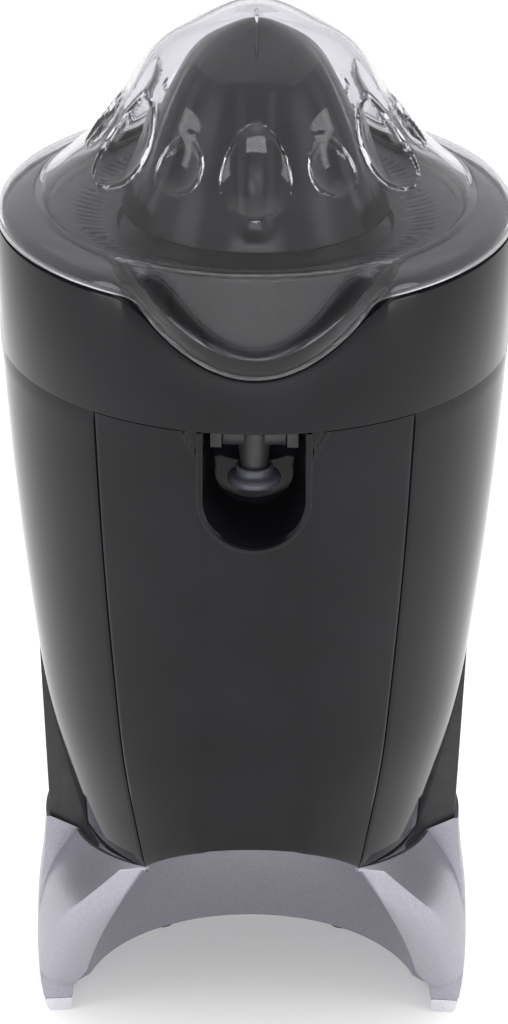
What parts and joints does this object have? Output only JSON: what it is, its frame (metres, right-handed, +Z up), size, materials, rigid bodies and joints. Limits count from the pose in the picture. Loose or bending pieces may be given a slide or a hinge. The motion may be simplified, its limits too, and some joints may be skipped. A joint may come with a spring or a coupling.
{
  "type": "citrus press juicer",
  "caption": "Electric citrus press with a clear domed cover over a ribbed cone, strainer and spouted juice bowl, on a tapered body with an arched base.",
  "frame": {"origin": "on the supporting surface, below the vertical drive axis", "axes": "+Z up along the drive axis, front with the spout towards -Y, +X to the right seen from the front"},
  "size_m": [0.14, 0.14, 0.306],
  "materials": {
    "gloss_black": "deep gloss moulded black",
    "matte_black": "fine satin grain, black",
    "smoked_cone": "gloss black, ribbed",
    "clear": "clear, polished",
    "silver": "satin silver lacquer",
    "silicone": "milky translucent",
    "rubber": "matte black rubber",
    "steel": "plated",
    "lamination": "stacked laminations",
    "copper": "enamelled winding",
    "bronze": "sintered bush",
    "nylon": "natural moulded"
  },
  "bodies": {
    "root": {"base_stand": "silver", "bottom_plate": "matte_black", "bottom_screw_1": "steel", "bottom_screw_2": "steel", "bottom_screw_3": "steel", "cord_gland": "rubber", "deck_screw_1": "steel", "deck_screw_2": "steel", "deck_screw_3": "steel", "field_coil": "copper", "front_panel": "gloss_black", "gearbox_base": "matte_black", "gearbox_cover": "matte_black", "gearbox_mid_plate": "matte_black", "idler_pin": "steel", "lower_bush": "bronze", "micro_switch": "matte_black", "motor_bearing_lower": "bronze", "motor_bearing_upper": "bronze", "motor_bolt_left": "steel", "motor_bolt_right": "steel", "motor_bracket_lower": "steel", "motor_bracket_upper": "steel", "rear_cover": "matte_black", "rear_foot_left": "rubber", "rear_foot_right": "rubber", "recess_liner": "gloss_black", "shaft_seal": "rubber", "side_panel_left": "gloss_black", "side_panel_right": "gloss_black", "stator_core": "lamination", "toe_cap_left": "silver", "toe_cap_right": "silver", "top_deck": "matte_black", "upper_bush": "bronze"},
    "bowl": {"juice_bowl": "gloss_black", "strainer": "matte_black", "spout_bracket": "matte_black", "spout_pin_left": "steel", "spout_pin_right": "steel"},
    "cover": {"dust_cover": "clear"},
    "spout": {"spout_tube": "matte_black", "spout_tip": "silicone"},
    "carriage": {"thrust_cup": "nylon", "return_spring": "steel"},
    "switch_arm": {"switch_lever": "steel"},
    "spindle": {"drive_shaft": "steel", "output_gear": "nylon"},
    "cones": {"small_cone": "smoked_cone", "large_cone": "smoked_cone"},
    "idler": {"idler_gear": "nylon", "idler_pinion": "nylon"},
    "rotor": {"rotor_core": "lamination", "rotor_shaft": "steel", "motor_pinion": "steel", "cooling_fan": "nylon"}
  },
  "joints": [
    {"name": "bowl_lift", "type": "slide", "parent": "root", "child": "bowl", "axis": [0, 0, 1], "range_m": [0, 0.09]},
    {"name": "cover_lift", "type": "slide", "parent": "bowl", "child": "cover", "axis": [0, 0, 1], "range_m": [0, 0.06]},
    {"name": "spout_tilt", "type": "hinge", "parent": "bowl", "child": "spout", "pos_m": [0, -0.0525, 0.2059], "axis": [-1, 0, 0], "range_deg": [0, 55]},
    {"name": "cone_press", "type": "slide", "parent": "root", "child": "carriage", "axis": [0, 0, -1], "range_m": [0, 0.003], "stiffness_N_per_m": 1500, "springref_m": -0.005, "deforming": ["return_spring"]},
    {"name": "cone_spin", "type": "hinge", "parent": "carriage", "child": "spindle", "pos_m": [0, 0, 0.1646], "axis": [0, 0, 1], "continuous": true},
    {"name": "cone_lift", "type": "slide", "parent": "spindle", "child": "cones", "axis": [0, 0, 1], "range_m": [0, 0.09]},
    {"name": "idler_spin", "type": "hinge", "parent": "root", "child": "idler", "pos_m": [0, 0.02, 0.15], "axis": [0, 0, 1], "continuous": true},
    {"name": "motor_spin", "type": "hinge", "parent": "root", "child": "rotor", "pos_m": [0, 0, 0.11], "axis": [0, 0, 1], "continuous": true},
    {"name": "switch_tilt", "type": "hinge", "parent": "root", "child": "switch_arm", "pos_m": [-0.024, 0, 0.159], "axis": [0, 1, 0], "range_deg": [0, 10]}
  ],
  "couplings": [
    {"joint": "cone_lift", "follows": "bowl_lift", "ratio": 1},
    {"joint": "idler_spin", "follows": "cone_spin", "ratio": -4},
    {"joint": "motor_spin", "follows": "cone_spin", "ratio": 16},
    {"joint": "switch_tilt", "follows": "cone_press", "rad_per_m": 52}
  ]
}
